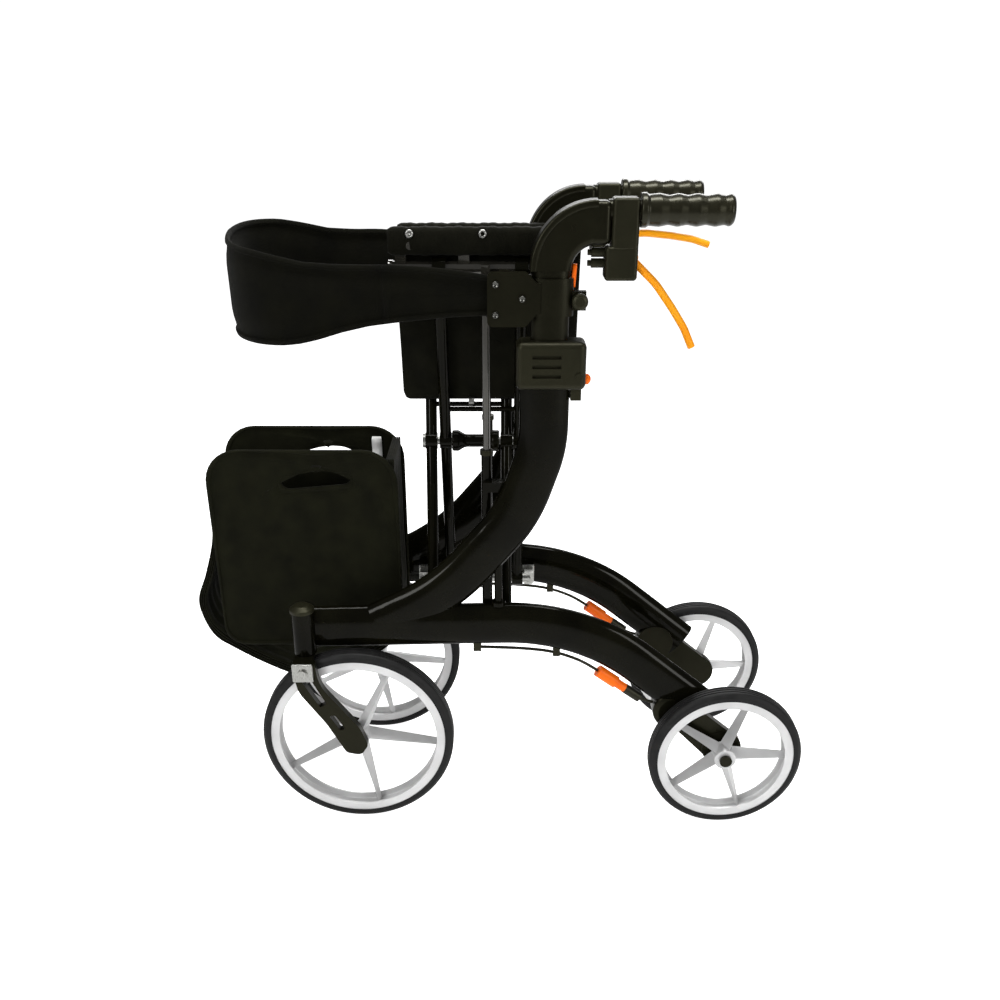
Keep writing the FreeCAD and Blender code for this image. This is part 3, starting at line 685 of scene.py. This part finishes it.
def build_pull_loop():
    """Webbing loop sewn to the near seat cloth, for folding the walker."""
    path = [flap_point(1, along, y, lift) for along, y, lift in LOOP_PATH]
    piece = band_piece("seat_pull_loop", path, LOOP_WIDE, LOOP_THICK, MATERIALS["strap_fabric"])
    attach(piece, "flap_left")


TAG_PLACE = Vector((-0.0472, -0.161, 0.449))
TAG_WIDE, TAG_TALL = 0.013, 0.031
TAG_STEPS = 12


def build_blank_label():
    """Small blank tag on the far bag side's inner face."""
    rings = []
    for i in range(TAG_STEPS + 1):
        curl = 0.0008 * math.sin(i * 0.8)
        end = min(i, TAG_STEPS - i)
        half = TAG_WIDE / 2 - (0.0008 if end == 0 else 0)
        ring = [(-half, 0.0), (0.0, 0.0003), (half, 0.0),
                (half, -0.0006), (0.0, -0.0004), (-half, -0.0006)]
        rings.append([TAG_PLACE + Vector((x + curl, y, TAG_TALL * i / TAG_STEPS))
                      for y, x in ring])
    points, faces = joined_rings(rings)
    piece = mesh_piece("bag_tag", points, faces, MATERIALS["tag_cloth"])
    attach(piece, "frame_right")


TAB_PLACE = Vector((0.098, 0.0795, 0.690))
TAB_HALF_X, TAB_HALF_Y = 0.0030, 0.0024
TAB_TALL, TAB_LEAN = 0.024, 0.0014
TAB_STEPS = 10


def build_handle_tab(side_name, side):
    """Orange pull tab behind the handle tube."""
    rings = []
    for i in range(TAB_STEPS + 1):
        share = i / TAB_STEPS
        half = TAB_HALF_X * (0.75 if i in (0, TAB_STEPS) else 1)
        ring = []
        for k in range(20):
            x, y = squarish(2 * math.pi * k / 20, 0.5)
            place = TAB_PLACE + Vector((half * x, TAB_HALF_Y * y + TAB_LEAN * share,
                                        TAB_TALL * share))
            ring.append(Vector((place.x * side, place.y, place.z)))
        rings.append(ring)
    points, faces = joined_rings(rings)
    tab = mesh_piece("handle_tab_" + side_name, points, faces, MATERIALS["orange_plastic"])
    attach(tab, "handle_" + side_name)


for side_name, side in SIDES:
    build_handle_tab(side_name, side)
    build_strap(side_name, side)
    build_seat_flap(side_name, side)
    build_batten_sleeve(side_name, side)
    build_rivet_rims(side_name, side)
    build_bag_panel(side_name, side)
build_blank_label()
build_pull_loop()
for layer, (letter, body) in enumerate(WALLS):
    build_bag_wall(layer, letter, body)


# ---------------------------------------------------------------- stage, lights, camera
def look_at(item, target):
    direction = Vector(target) - item.location
    item.rotation_euler = direction.to_track_quat("-Z", "Y").to_euler()


def area_light(name, place, target, size, power):
    light = bpy.data.lights.new(name, "AREA")
    light.shape = "RECTANGLE"
    light.size, light.size_y = size
    light.energy = power
    lamp = bpy.data.objects.new(name, light)
    lamp.location = place
    bpy.context.scene.collection.objects.link(lamp)
    look_at(lamp, target)


def build_stage():
    """Pale floor and world, brighter where they are seen than as lights, and soft lamps."""
    mesh = bpy.data.meshes.new("floor")
    reach = 6.0
    mesh.from_pydata([(-reach, -reach, 0), (reach, -reach, 0), (reach, reach, 0),
                      (-reach, reach, 0)], [], [(0, 1, 2, 3)])
    floor = bpy.data.objects.new("floor", mesh)
    floor.location.z = -0.0005
    bpy.context.scene.collection.objects.link(floor)
    material, tree, shader = new_material("pale_floor")
    vector = coordinates(tree)
    link(tree, ramp(tree, noise(tree, vector, 3), (0.86, 0.86, 0.86), (0.9, 0.9, 0.9)),
         shader.inputs["Base Color"])
    shader.inputs["Roughness"].default_value = 0.9
    shader.inputs["Specular IOR Level"].default_value = 0.1
    shader.inputs["Emission Color"].default_value = (1, 1, 1, 1)
    seen = tree.nodes.new("ShaderNodeLightPath")
    link(tree, span(tree, seen.outputs["Is Camera Ray"], 0.1, 0.95),
         shader.inputs["Emission Strength"])
    mesh.materials.append(material)
    bpy.context.scene.view_settings.view_transform = "Standard"
    world = bpy.data.worlds.new("studio")
    world.use_nodes = True
    background = world.node_tree.nodes["Background"]
    background.inputs["Color"].default_value = (1, 1, 1, 1)
    path = world.node_tree.nodes.new("ShaderNodeLightPath")
    link(world.node_tree, span(world.node_tree, path.outputs["Is Camera Ray"], 0.24, 1.05),
         background.inputs["Strength"])
    bpy.context.scene.world = world
    middle = (0, 0, 0.4)
    area_light("overhead", (0.1, 0.0, 2.3), middle, (1.6, 0.5), 42)
    area_light("key", (1.9, -1.5, 1.5), middle, (0.5, 1.3), 26)
    area_light("fill", (1.7, 1.9, 1.1), middle, (0.5, 1.3), 20)
    area_light("rim", (-1.8, 0.4, 1.6), middle, (1.8, 0.6), 24)


def build_camera():
    """Side view from the walker's left, close and a little above the handles."""
    camera = bpy.data.cameras.new("camera")
    camera.sensor_width = 36
    camera.lens = 37.8
    camera.shift_y = 0.139
    camera.clip_start = 0.02
    eye = bpy.data.objects.new("camera", camera)
    eye.location = (1.289, 0.0, 0.878)
    eye.rotation_euler = (math.radians(90 - 27.5), 0, math.radians(90))
    bpy.context.scene.collection.objects.link(eye)
    bpy.context.scene.camera = eye


build_stage()
build_camera()
